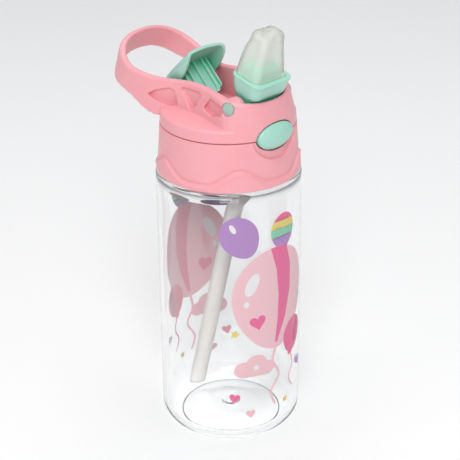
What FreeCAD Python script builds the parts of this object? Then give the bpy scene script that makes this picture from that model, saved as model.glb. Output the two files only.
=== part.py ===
# Kids water bottle: clear bottle, two-piece screw-on lid with a carry loop, folding spout with a
# silicone mouthpiece, flip cover, release button and slanted straw.
# Millimetres. Origin at the centre of the base, +Z up, the button faces -Y, the loop points to +Y.
# The model stands with the spout up and the cover open.
import FreeCAD, Part
import math
import os
from FreeCAD import Vector as V

os.makedirs("parts", exist_ok=True)

# ------------------------------------------------------------------ driving dimensions
BODY_R = 36.0          # outer radius of the bottle
BODY_WALL = 2.2
BASE_ROUND = 10.4      # rounding between the wall and the base
SHOULDER_Z = 141.2     # where the body steps in under the collar
NECK_R = 29.6          # neck outside, between the threads
NECK_BORE = 27.2
MOUTH_Z = 158.4        # top of the neck
THREAD_PITCH = 5.0
THREAD_TURNS = 1.1
THREAD_H = 1.25        # neck thread height
COLLAR_Z0 = 141.6
COLLAR_BORE = 31.4     # collar inside, between the threads
COLLAR_THREAD_R = 30.15
SEAM_Z = 165.4         # split between collar and housing
WAVE_LOW, WAVE_RISE = 143.9, 7.1
GASKET_H = 1.5
FLANGE_T = 1.7
CORE_T = 1.6
FLOOR_Z0, FLOOR_Z1 = 168.4, 170.2   # floor of the spout channel
LEDGE_Z = 171.6
PIVOT = (-19.8, 181.0)              # spout pivot (y, z), axis along X
LEAN = 15.0                         # forward lean of the raised spout
DRUM_R = 7.0
COVER_PIVOT = (26.4, 180.0)         # cover hinge (y, z), axis along X
COVER_LEAN = 40.5
PIN_R = 3.1
BUTTON_Z = 165.9
BUTTON_HX, BUTTON_HZ = 11.6, 6.5    # half width and half height of the button
BUTTON_TRAVEL = 1.8
STRAW_R, STRAW_BORE = 4.25, 3.3
STRAW_LEAN = 14.8

SHAPES = {}


def keep(name, shape):
    solids = shape.Solids
    assert solids, name
    shape = solids[0] if len(solids) == 1 else Part.makeCompound(solids)
    assert shape.isValid(), name + " is not valid"
    SHAPES[name] = shape
    return shape


def revolve(points, angle=360):
    """Solid of revolution about Z from (r, z) points."""
    wire = Part.makePolygon([V(r, 0, z) for r, z in points] + [V(points[0][0], 0, points[0][1])])
    return Part.Face(wire).revolve(V(0, 0, 0), V(0, 0, 1), angle)


def rounded_revolve(points):
    """As revolve, with points (r, z, radius): a positive radius rounds that corner."""
    n = len(points)
    edges = []
    last = None
    first = None
    for i in range(n):
        p0 = V(points[i - 1][0], 0, points[i - 1][1])
        p1 = V(points[i][0], 0, points[i][1])
        p2 = V(points[(i + 1) % n][0], 0, points[(i + 1) % n][1])
        rad = points[i][2] if len(points[i]) > 2 else 0
        if rad > 0:
            a = (p0 - p1).normalize()
            b = (p2 - p1).normalize()
            half = a.getAngle(b) / 2
            cut = rad / math.tan(half)
            s = p1 + a * cut
            e = p1 + b * cut
            mid_dir = (a + b).normalize()
            m = p1 + mid_dir * (rad / math.sin(half) - rad)
            if last is not None and (s - last).Length > 1e-6:
                edges.append(Part.LineSegment(last, s).toShape())
            if first is None:
                first = s
            edges.append(Part.Arc(s, m, e).toShape())
            last = e
        else:
            if last is not None and (p1 - last).Length > 1e-6:
                edges.append(Part.LineSegment(last, p1).toShape())
            if first is None:
                first = p1
            last = p1
    if (first - last).Length > 1e-6:
        edges.append(Part.LineSegment(last, first).toShape())
    return Part.Face(Part.Wire(edges)).revolve(V(0, 0, 0), V(0, 0, 1), 360)


def prism_x(yz, x0, x1):
    """Polygon in the Y-Z plane pulled along X."""
    pts = [V(x0, y, z) for y, z in yz]
    return Part.Face(Part.makePolygon(pts + [pts[0]])).extrude(V(x1 - x0, 0, 0))


def cyl(r, h, base, direction):
    return Part.makeCylinder(r, h, V(*base), V(*direction))


def ellipse_prism(hx, hz, y0, y1, zc):
    e = Part.Ellipse(V(0, y0, zc), hx, hz).toShape() if hx > hz else None
    e.rotate(V(0, y0, zc), V(1, 0, 0), 90)
    return Part.Face(Part.Wire([e])).extrude(V(0, y1 - y0, 0))


def thread(root_r, crest_r, z0, pitch, turns, width_root, width_crest, over=0.25):
    """A helical ridge lofted from its cross-sections; its root is sunk by `over` into the wall."""
    sign = 1 if crest_r > root_r else -1
    sections = []
    steps = int(turns * 24)
    for i in range(steps + 1):
        a = 2 * math.pi * turns * i / steps
        fade = min(1.0, i / 4.0, (steps - i) / 4.0)
        crest = root_r + (crest_r - root_r) * max(0.12, fade)
        zc = z0 + pitch * turns * i / steps
        pts = [(root_r - sign * over, zc - width_root / 2), (crest, zc - width_crest / 2),
               (crest, zc + width_crest / 2), (root_r - sign * over, zc + width_root / 2)]
        p = [V(r * math.cos(a), r * math.sin(a), z) for r, z in pts]
        sections.append(Part.makePolygon(p + [p[0]]))
    return Part.makeLoft(sections, True, True)


# ------------------------------------------------------------------ bottle
def wave_z(t):
    """Height of the wave on the collar at angle t from the front, five lobes."""
    return WAVE_LOW + WAVE_RISE * ((1 + math.cos(5 * (t - math.radians(36)))) / 2) ** 2


def bottle():
    outer = rounded_revolve([
        (0, 4.2), (15, 4.0, 6), (22.5, 0.0, 2.2), (BODY_R, 0.0, BASE_ROUND),
        (BODY_R, SHOULDER_Z, 1.6), (NECK_R, SHOULDER_Z, 0.8), (NECK_R, MOUTH_Z, 0.9),
        (0, MOUTH_Z)])
    w = BODY_R - BODY_WALL
    inner = rounded_revolve([
        (0, 9.0), (6.5, 8.6, 2), (14, 7.2, 6), (24.5, 3.0, 2.5), (w, 4.2, 8.0),
        (w, SHOULDER_Z - 3.4, 5.0), (NECK_BORE, SHOULDER_Z + 0.8, 3.0),
        (NECK_BORE, MOUTH_Z + 5), (0, MOUTH_Z + 5)])
    body = outer.cut(inner)
    ridge = thread(NECK_R, NECK_R + THREAD_H, 146.4, THREAD_PITCH, THREAD_TURNS, 2.3, 1.0)
    return keep("bottle_body", body.fuse(ridge).removeSplitter())


# ------------------------------------------------------------------ collar
def collar():
    flange_z0 = MOUTH_Z + GASKET_H
    flange_z1 = flange_z0 + FLANGE_T
    body = rounded_revolve([
        (COLLAR_BORE, COLLAR_Z0, 0.4), (35.0, COLLAR_Z0, 0.6), (34.2, 152.0), (33.75, 158.0),
        (33.3, SEAM_Z, 0.5), (31.5, SEAM_Z), (31.5, flange_z1), (24.0, flange_z1),
        (24.0, flange_z0), (COLLAR_BORE, flange_z0)])
    band = rounded_revolve([
        (34.0, COLLAR_Z0 + 0.0), (35.6, COLLAR_Z0, 0.5), (34.75, 155.0), (33.5, 155.0)])
    curves = []
    for r in (27.0, 43.0):
        pts = []
        n = 120
        for i in range(n):
            t = 2 * math.pi * i / n
            pts.append(V(r * math.sin(t), -r * math.cos(t), wave_z(t)))
        bs = Part.BSplineCurve()
        bs.interpolate(pts, PeriodicFlag=True)
        curves.append(bs.toShape())
    low = Part.makeRuledSurface(curves[0], curves[1])
    # the region above the wave, as part of a ring between two cylinders
    ring = Part.makeCylinder(40, 30, V(0, 0, 138)).cut(Part.makeCylinder(30, 30, V(0, 0, 138)))
    parts = ring.generalFuse([low])[0]
    upper = max(parts.Solids, key=lambda s: s.CenterOfMass.z)
    band = band.cut(upper)
    body = body.fuse(band)
    ridge = thread(COLLAR_BORE, COLLAR_THREAD_R, 144.0, THREAD_PITCH, THREAD_TURNS, 2.3, 1.0)
    body = body.fuse(ridge)
    hole = ellipse_prism(BUTTON_HX + 0.35, BUTTON_HZ + 0.35, -40, -20, BUTTON_Z)
    body = body.cut(hole.cut(Part.makeCylinder(29.4, 60, V(0, 0, 130))))
    # finger scoop under the button
    scoop = ellipse_prism(BUTTON_HX + 2.2, BUTTON_HZ + 4.2, -40, -20, BUTTON_Z)
    scoop = scoop.cut(Part.makeCylinder(32.7, 60, V(0, 0, 130)))
    body = body.cut(scoop)
    return keep("lid_collar", body.removeSplitter())


# ------------------------------------------------------------------ housing
# Stations along one half of the wall, from the front centre round the side and the loop to the
# back centre: outer top, outer foot, inner foot, inner top, and how far the outer face is hollowed.
STATIONS = [
    ((0, -30.5, 182.9), (0, -32.9, 169.6), (0, -28.2, 169.6), (0, -28.3, 182.9), 0.0),
    ((8, -29.5, 183.1), (8.8, -31.6, 169.6), (6.8, -27.4, 169.6), (6.9, -27.4, 183.1), 0.0),
    ((15.2, -26.0, 183.8), (16.8, -28.2, 169.6), (12.6, -24.8, 169.6), (12.7, -24.7, 183.8), 0.0),
    ((20.2, -20.6, 184.6), (23.0, -23.2, 169.6), (15.3, -20.0, 169.6), (15.4, -20.0, 184.6), 0.0),
    ((20.3, -15.0, 185.0), (23.6, -16.5, 169.6), (15.2, -15.0, 169.6), (15.2, -15.0, 185.0), 0.3),
    ((18.8, -9, 185.6), (22.4, -9.5, 169.6), (14.6, -9, 169.6), (14.6, -9, 185.6), 0.6),
    ((17.6, -2, 186.3), (21.2, -2, 169.6), (14.0, -2, 169.6), (14.0, -2, 186.3), 0.8),
    ((16.9, 5, 186.6), (20.4, 5, 169.6), (13.7, 5, 169.6), (13.7, 5, 186.6), 0.8),
    ((16.6, 12, 186.1), (20.2, 12.5, 169.6), (13.6, 12, 169.6), (13.6, 12, 186.1), 0.7),
    ((17.2, 19, 185.2), (21.2, 20.5, 168.0), (14.8, 20.0, 169.0), (14.0, 19, 185.2), 0.5),
    ((19.4, 25.6, 184.9), (22.8, 28.0, 166.6), (17.2, 28.0, 169.4), (16.0, 25.6, 184.9), 0.3),
    ((21.7, 32, 185.3), (23.4, 35.5, 168.6), (19.0, 35, 171.8), (18.2, 32, 185.3), 0.0),
    ((23.4, 38, 186.3), (23.9, 42, 172.6), (20.1, 41.5, 175.6), (19.9, 38, 186.3), 0.0),
    ((24.1, 44, 188.0), (24.3, 48, 175.4), (20.6, 47.3, 179.0), (20.6, 44, 188.0), 0.0),
    ((23.3, 49.5, 190.8), (23.6, 53.6, 177.2), (19.8, 52.8, 181.6), (19.8, 48.8, 190.7), 0.0),
    ((20.6, 54, 193.6), (21.0, 58.4, 179.4), (17.7, 56.6, 183.4), (17.5, 52.2, 193.4), 0.0),
    ((16, 57.8, 196.2), (16.4, 62.1, 183.0), (13.8, 59.6, 185.5), (13.6, 55.2, 196.0), 0.0),
    ((8.5, 60.1, 198.2), (8.7, 64.4, 186.2), (7.4, 61.3, 187.2), (7.2, 57.0, 198.0), 0.0),
    ((0, 60.7, 198.8), (0, 65.0, 187.2), (0, 61.9, 187.7), (0, 57.5, 198.6), 0.0),
]


def between(k, f):
    """Smooth station between k and k + 1 (Catmull-Rom)."""
    n = len(STATIONS)

    def flat(i):
        if i < 0:
            st = STATIONS[-i]
            st = [(-p[0], p[1], p[2]) for p in st[:4]] + [st[4]]
        elif i >= n:
            st = STATIONS[2 * n - 2 - i]
            st = [(-p[0], p[1], p[2]) for p in st[:4]] + [st[4]]
        else:
            st = STATIONS[i]
        return [c for p in st[:4] for c in p] + [st[4]]

    p0, p1, p2, p3 = (flat(k + j) for j in (-1, 0, 1, 2))
    out = []
    for a, b, c, d in zip(p0, p1, p2, p3):
        out.append(0.5 * (2 * b + (c - a) * f + (2 * a - 5 * b + 4 * c - d) * f * f
                          + (3 * b - a - 3 * c + d) * f ** 3))
    return [tuple(out[0:3]), tuple(out[3:6]), tuple(out[6:9]), tuple(out[9:12]), out[12]]


def section(st, soft=0.9):
    ot, of_, if_, it = (V(*p) for p in st[:4])
    hollow = st[4]
    out = (ot - it).normalize()

    def near(a, b, d):
        return a + (b - a).normalize() * min(d, (b - a).Length * 0.3)

    mid = ot + (of_ - ot) * 0.5 - out * hollow
    pts = [near(it, ot, soft), near(ot, it, soft), near(ot, of_, soft), mid, of_, if_, near(it, if_, soft)]
    if abs(st[0][0]) < 1e-6:
        pts = [V(0, p.y, p.z) for p in pts]
    return pts


def ring_half():
    """One half of the wall and loop, as a closed shell of ruled faces between its stations."""
    rows = []
    for k in range(len(STATIONS) - 1):
        for f in (0.0, 0.5):
            rows.append(section(between(k, f)))
    rows.append(section(STATIONS[-1]))
    faces = []
    n = len(rows[0])
    for a, b in zip(rows, rows[1:]):
        for i in range(n):
            j = (i + 1) % n
            e1 = Part.LineSegment(a[i], a[j]).toShape()
            e2 = Part.LineSegment(b[i], b[j]).toShape()
            faces.append(Part.makeRuledSurface(e1, e2))
    for row in (rows[0], rows[-1]):
        faces.append(Part.Face(Part.makePolygon(row + [row[0]])))
    shell = Part.makeShell(faces)
    shell.sewShape()
    shell = shell.Shells[0] if shell.ShapeType != "Shell" else shell
    solid = Part.makeSolid(shell)
    if solid.Volume < 0:
        solid = solid.reversed()
        solid = Part.makeSolid(solid.Shells[0])
    return solid


def mirror_x(shape):
    return shape.mirror(V(0, 0, 0), V(1, 0, 0))


POCKETS = [
    [(33.5, 175.8), (28.8, 178.8), (21.5, 180.9), (18.9, 180.2), (16.4, 175.6), (15.6, 173.6),
     (20.8, 172.4), (28, 173.6)],
    [(14.6, 182.0), (13.6, 182.8), (1.2, 183.3), (0.3, 182.2), (4.3, 175.2), (6.6, 173.9)],
    [(-6.8, 182.6), (-16.8, 181.6), (-17.2, 177.2), (-9.4, 175.0), (-2.2, 176.7)],
]


# Depth of each pocket: the floor's x at the first and at the last y given.
POCKET_FLOORS = [(15.6, 16.2, 33.5, 20.4), (0.3, 16.6, 14.6, 15.9), (-17.2, 19.2, -2.2, 16.9)]


def housing():
    half = ring_half()
    for poly, (ya, xa, yb, xb) in zip(POCKETS, POCKET_FLOORS):
        tool = prism_x(poly, 8, 40)
        k = (xb - xa) / (yb - ya)
        lo, hi = ya - 10, yb + 10
        pts = [V(0, lo, 160), V(xa + k * (lo - ya), lo, 160), V(xa + k * (hi - ya), hi, 160), V(0, hi, 160)]
        block = Part.Face(Part.makePolygon(pts + [pts[0]])).extrude(V(0, 0, 40))
        half = half.cut(tool.cut(block))
    walls = half.fuse(mirror_x(half))
    skirt = rounded_revolve([
        (31.4, SEAM_Z + 0.2), (33.15, SEAM_Z + 0.2, 0.4), (32.75, LEDGE_Z - 0.1, 1.3),
        (20.0, 172.8), (0, 172.8), (0, FLOOR_Z0), (31.0, FLOOR_Z0, 1.0)])
    # channel down to its floor, with its rear end open above the rear wall
    chan = Part.Face(Part.Wire(_channel_outline())).extrude(V(0, 0, 40))
    chan.translate(V(0, 0, FLOOR_Z1))
    skirt = skirt.cut(chan)
    body = walls.fuse(skirt)
    rear = Part.makeBox(38, 3.0, 8.2, V(-19, 30.2, FLOOR_Z0 + 0.4))
    rear = rear.common(Part.makeCylinder(33.4, 40, V(0, 0, 150)))
    body = body.fuse(rear)
    # bosses for the cover pin, under the crest of the walls
    for s in (1, -1):
        boss = prism_x([(22.4, 170.5), (30.4, 170.5), (30.0, 180.5), (28.4, 182.8), (24.4, 182.8), (22.8, 180.5)],
                       s * 12.9, s * 17.8)
        body = body.fuse(boss)
    body = body.cut(cyl(1.3, 31.4, (-15.7, *COVER_PIVOT), (1, 0, 0)))
    # boss round the left spout pin; the spring takes its place on the right
    body = body.fuse(cyl(4.7, 3.2, (-15.9, *PIVOT), (1, 0, 0)))
    # spout pin holes
    body = body.cut(cyl(PIN_R + 0.06, 60, (-30, *PIVOT), (1, 0, 0)))
    # well for the heel of the cover
    body = body.cut(Part.makeBox(19.8, 16.0, 12, V(-9.9, 5.2, FLOOR_Z0 - 6)))
    # port for the spout seat
    body = body.cut(Part.makeBox(15.2, 11.5, 6, V(-7.6, -23.6, FLOOR_Z0 - 3)))
    # slot for the latch pawl
    body = body.cut(Part.makeBox(7.0, 3.8, 6, V(-3.5, -28.15, FLOOR_Z0 - 3)))
    # button pocket and finger scoop
    hole = ellipse_prism(BUTTON_HX + 0.35, BUTTON_HZ + 0.35, -40, -20, BUTTON_Z)
    body = body.cut(hole.cut(Part.makeCylinder(29.4, 60, V(0, 0, 130))))
    return keep("lid_housing", body)


def _channel_outline():
    """Plan of the spout channel."""
    right = [(0, -28.2), (6.8, -27.4), (12.6, -24.8), (15.3, -20.0)]
    bs = Part.BSplineCurve()
    pts = [V(-x, y, 0) for x, y in reversed(right)] + [V(x, y, 0) for x, y in right[1:]]
    bs.interpolate(pts)
    e = [bs.toShape()]
    line = [V(15.3, -20.0, 0), V(14.0, -2, 0), V(13.6, 12, 0), V(14.8, 20, 0), V(15.4, 30.2, 0),
            V(-15.4, 30.2, 0), V(-14.8, 20, 0), V(-13.6, 12, 0), V(-14.0, -2, 0), V(-15.3, -20.0, 0)]
    for a, b in zip(line, line[1:]):
        e.append(Part.LineSegment(a, b).toShape())
    return Part.__sortEdges__(e)


# ------------------------------------------------------------------ straight-line flow axis
def straw_axis(z):
    return -20.0 + (181.5 - z) * math.tan(math.radians(STRAW_LEAN))


def straw_dir():
    a = math.radians(STRAW_LEAN)
    return V(0, -math.sin(a), math.cos(a))


def tube_on_axis(r, z0, z1):
    p0 = V(0, straw_axis(z0), z0)
    p1 = V(0, straw_axis(z1), z1)
    return Part.makeCylinder(r, (p1 - p0).Length, p0, p1 - p0)


def core_plate():
    z0 = MOUTH_Z + GASKET_H + FLANGE_T
    z1 = z0 + CORE_T
    disc = rounded_revolve([(0, z0), (31.2, z0, 0.3), (31.2, z1, 0.3), (0, z1)])
    lip = revolve([(21.5, z0 - 4.2), (23.7, z0 - 4.2), (23.7, z0 + 0.5), (21.5, z0 + 0.5)])
    nipple = tube_on_axis(STRAW_R + 1.6, 150.5, z0 + 0.8)
    nipple = nipple.common(Part.makeBox(80, 80, 20.8, V(-40, -40, z0 + 0.8 - 20)))
    nipple = nipple.common(Part.makeBox(80, 80, 60, V(-40, -40, 151.6)))
    plate = disc.fuse(lip).fuse(nipple)
    for s in (1, -1):       # the button springs bear on these posts
        plate = plate.fuse(Part.makeBox(5.4, 1.6, 4.0, V(s * 11.0 - 2.7, -20.6, z1 - 0.2)))
    plate = plate.cut(tube_on_axis(STRAW_R + 0.02, 140, 160.6))
    plate = plate.cut(tube_on_axis(STRAW_BORE, 150, 170))
    plate = plate.cut(Part.makeCylinder(1.6, 10, V(13.5, 10, z0 - 3)))
    hole = ellipse_prism(BUTTON_HX + 0.35, BUTTON_HZ + 0.35, -40, -20, BUTTON_Z)
    plate = plate.cut(hole.cut(Part.makeCylinder(29.4, 60, V(0, 0, 130))))
    return keep("lid_core", plate.removeSplitter())


def seat():
    z1 = MOUTH_Z + GASKET_H + FLANGE_T + CORE_T
    blk = Part.makeBox(14.6, 3.6, 14.0, V(-7.3, -23.3, z1))
    blk = blk.fuse(Part.makeBox(14.6, 3.6, 173.1 - z1, V(-7.3, -19.8, z1)))
    blk = blk.fuse(Part.makeBox(14.6, 2.4, 171.9 - z1, V(-7.3, -16.2, z1)))
    blk = blk.fuse(Part.makeBox(14.6, 1.7, FLOOR_Z1 - z1, V(-7.3, -14.1, z1)))
    blk = blk.cut(cyl(DRUM_R + 0.3, 40, (-20, *PIVOT), (1, 0, 0)))
    blk = blk.cut(tube_on_axis(STRAW_BORE, 158, 182))
    return keep("spout_seat", blk.removeSplitter())


def gasket():
    ring = rounded_revolve([(NECK_BORE + 0.3, MOUTH_Z, 0.3), (NECK_R - 0.2, MOUTH_Z, 0.3),
                            (NECK_R - 0.2, MOUTH_Z + GASKET_H, 0.3),
                            (NECK_BORE + 0.3, MOUTH_Z + GASKET_H, 0.3)])
    return keep("neck_gasket", ring)


def vent_valve():
    z0 = MOUTH_Z + GASKET_H + FLANGE_T
    v = Part.makeCylinder(1.5, 3.4, V(13.5, 10, z0 - 1.2))
    v = v.fuse(Part.makeCylinder(3.2, 0.7, V(13.5, 10, z0 + CORE_T)))
    v = v.fuse(Part.makeCone(1.5, 2.3, 0.9, V(13.5, 10, z0 - 2.0)))
    return keep("vent_valve", v.removeSplitter())


def straw():
    top, bottom = 160.6, 7.0
    tube = tube_on_axis(STRAW_R, -10, 175).cut(tube_on_axis(STRAW_BORE, -20, 185))
    d = straw_dir()
    p1 = V(0, straw_axis(top), top)
    cap = Part.makeBox(60, 60, 60, V(-30, -30, 0))
    cap.rotate(V(0, 0, 0), V(1, 0, 0), STRAW_LEAN)
    cap.translate(p1)
    tube = tube.cut(cap)
    low = Part.makeBox(100, 120, 60, V(-50, -50, bottom - 60))
    low.rotate(V(0, straw_axis(bottom), bottom), V(1, 0, 0), -12)
    tube = tube.cut(low)
    return keep("straw", max(tube.Solids, key=lambda s: s.Volume))


# ------------------------------------------------------------------ spout
SHIFT_S, SHIFT_T = 0.5, -0.05


def spout_frame(shape):
    """From local (x, t, s) with the pivot at 0 to the raised position."""
    shape.rotate(V(0, 0, 0), V(1, 0, 0), LEAN)
    shape.translate(V(0, PIVOT[0], PIVOT[1]))
    return shape


def rrect(s, t0, t1, hx, r):
    """Rounded rectangle wire at height s."""
    s, t0, t1 = s + SHIFT_S, t0 + SHIFT_T, t1 + SHIFT_T
    w = hx * 2
    d = t1 - t0
    r = min(r, w / 2 - 0.01, d / 2 - 0.01)
    x0, x1, y0, y1 = -hx, hx, t0, t1
    k = r * (1 - math.sqrt(0.5))
    e = [Part.LineSegment(V(x0 + r, y0, s), V(x1 - r, y0, s)).toShape(),
         Part.Arc(V(x1 - r, y0, s), V(x1 - k, y0 + k, s), V(x1, y0 + r, s)).toShape(),
         Part.LineSegment(V(x1, y0 + r, s), V(x1, y1 - r, s)).toShape(),
         Part.Arc(V(x1, y1 - r, s), V(x1 - k, y1 - k, s), V(x1 - r, y1, s)).toShape(),
         Part.LineSegment(V(x1 - r, y1, s), V(x0 + r, y1, s)).toShape(),
         Part.Arc(V(x0 + r, y1, s), V(x0 + k, y1 - k, s), V(x0, y1 - r, s)).toShape(),
         Part.LineSegment(V(x0, y1 - r, s), V(x0, y0 + r, s)).toShape(),
         Part.Arc(V(x0, y0 + r, s), V(x0 + k, y0 + k, s), V(x0 + r, y0, s)).toShape()]
    return Part.Wire(e)


def spout_base():
    drum = cyl(DRUM_R, 14.4, (-7.2, 0, 0), (1, 0, 0))
    stem = Part.makeLoft([rrect(0.0, -6.2, 6.6, 11.2, 5.0), rrect(3.0, -6.5, 7.0, 11.4, 5.0),
                          rrect(5.2, -7.3, 8.1, 11.9, 4.5), rrect(8.5, -7.8, 8.9, 12.1, 4.3),
                          rrect(10.6, -8.1, 9.3, 12.2, 4.2), rrect(12.0, -8.7, 9.75, 12.5, 4.2)], True, True)
    rim = Part.makeLoft([rrect(12.0, -8.7, 9.75, 12.5, 4.2), rrect(12.9, -8.6, 9.65, 12.4, 4.1)], True, True)
    plug = Part.makeLoft([rrect(10.0, -4.4, 7.8, 9.1, 3.2), rrect(16.6, -3.1, 7.8, 8.0, 3.0)], True, True)
    body = drum.fuse(stem).fuse(rim)
    body = body.cut(Part.makeLoft([rrect(11.4, -6.4, 9.3, 10.9, 3.6), rrect(13.2, -6.4, 9.3, 10.9, 3.6)], True, True))
    body = body.fuse(plug)
    body = body.cut(cyl(2.4, 40, (0, 1.4, -1), (0, 0.02, 1)))
    body = body.cut(Part.makeLoft([Part.Wire([Part.Circle(V(0, 0, -12), V(0, 0, 1), STRAW_BORE).toShape()]),
                                   Part.Wire([Part.Circle(V(0, 1.4, 6), V(0, 0, 1), 2.4).toShape()])], True, True))
    body = body.cut(cyl(2.66, 40, (-20, 0, 0), (1, 0, 0)).cut(cyl(3, 11, (-5.5, 0, 0), (1, 0, 0))))
    return keep("spout_base", spout_frame(body.removeSplitter()))


MOUTH = [(11.45, -6.3, 9.2, 10.8, 3.5), (13.2, -6.3, 9.2, 10.8, 3.5), (14.4, -5.7, 9.5, 10.4, 3.6),
         (18.5, -4.8, 9.4, 9.9, 3.6), (23.0, -4.0, 9.0, 9.2, 3.4), (28.0, -3.4, 8.0, 8.2, 3.2),
         (31.5, -3.1, 7.3, 7.6, 2.8), (33.4, -2.7, 6.9, 7.1, 2.6), (34.3, -2.0, 6.3, 6.4, 2.3),
         (34.8, -1.0, 5.3, 5.4, 1.8)]


def mouthpiece():
    outer = Part.makeLoft([rrect(*m) for m in MOUTH[:2]], True, True)
    outer = outer.fuse(Part.makeLoft([rrect(*m) for m in MOUTH[1:]], True, False))
    inner = Part.makeLoft([rrect(11.0, -4.6, 8.0, 9.3, 3.2), rrect(16.7, -3.4, 8.1, 8.3, 3.0),
                           rrect(24.0, -2.4, 7.5, 7.4, 2.6), rrect(30.0, -1.7, 6.1, 6.2, 2.2),
                           rrect(32.4, -1.0, 5.4, 5.6, 1.8)], True, True)
    body = outer.cut(inner)
    duct = cyl(3.3, 16.4, (0, 2.2, 17.3), (0, 0, 1)).cut(cyl(2.3, 19, (0, 2.2, 16.0), (0, 0, 1)))
    body = body.fuse(duct)
    body = body.cut(Part.makeLoft([rrect(31.5, 1.3, 3.1, 1.7, 0.85), rrect(37.0, 1.3, 3.1, 1.7, 0.85)], True, True))
    return keep("mouthpiece", spout_frame(body.removeSplitter()))


def spout_pins():
    out = []
    for s in (1, -1):
        stub = cyl(2.6, 6.65, (s * 5.7, 0, 0), (s, 0, 0))
        head = cyl(PIN_R, 7.75, (s * 12.3, 0, 0), (s, 0, 0))
        p = stub.fuse(head).removeSplitter()
        p.translate(V(0, PIVOT[0], PIVOT[1]))
        out.append(p)
    keep("spout_pin_right", out[0])
    keep("spout_pin_left", out[1])


def coil(wire, mean_r, length, turns, base, direction):
    """Helical spring, one solid, lofted from circular sections through short steps."""
    steps = int(turns * 16)
    d = V(*direction)
    u = V(0, 0, 1) if abs(d.z) < 0.9 else V(1, 0, 0)
    u = (u - d * u.dot(d)).normalize()
    w = d.cross(u)
    pitch = (length - wire) / turns
    secs = []
    for i in range(steps + 1):
        a = 2 * math.pi * turns * i / steps
        radial = u * math.cos(a) + w * math.sin(a)
        centre = V(*base) + d * (wire / 2 + pitch * a / (2 * math.pi)) + radial * mean_r
        tangent = (w * math.cos(a) - u * math.sin(a)) * mean_r + d * (pitch / (2 * math.pi))
        tangent.normalize()
        side = radial
        up = tangent.cross(side)
        pts = [centre + (side * math.cos(math.pi * k / 4) + up * math.sin(math.pi * k / 4)) * (wire / 2)
               for k in range(8)]
        secs.append(Part.makePolygon(pts + [pts[0]]))
    return Part.makeLoft(secs, True, True)


# ------------------------------------------------------------------ flip cover
def cover_frame(shape):
    """From local (x, v, u): u runs from the hinge up to the lip, v from the outside inwards."""
    # local +Z (u) -> (0, -cos, sin); local +Y (v) -> inwards and down
    a = math.radians(COVER_LEAN)
    m = FreeCAD.Matrix()
    m.A11, m.A12, m.A13 = -1, 0, 0
    m.A21, m.A22, m.A23 = 0, -math.sin(a), -math.cos(a)
    m.A31, m.A32, m.A33 = 0, -math.cos(a), math.sin(a)
    m.A14, m.A24, m.A34 = 0, COVER_PIVOT[0], COVER_PIVOT[1]
    return _place(shape, m)


def _place(shape, m):
    s = shape.copy()
    s.Placement = FreeCAD.Placement(m).multiply(s.Placement)
    return s


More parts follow.
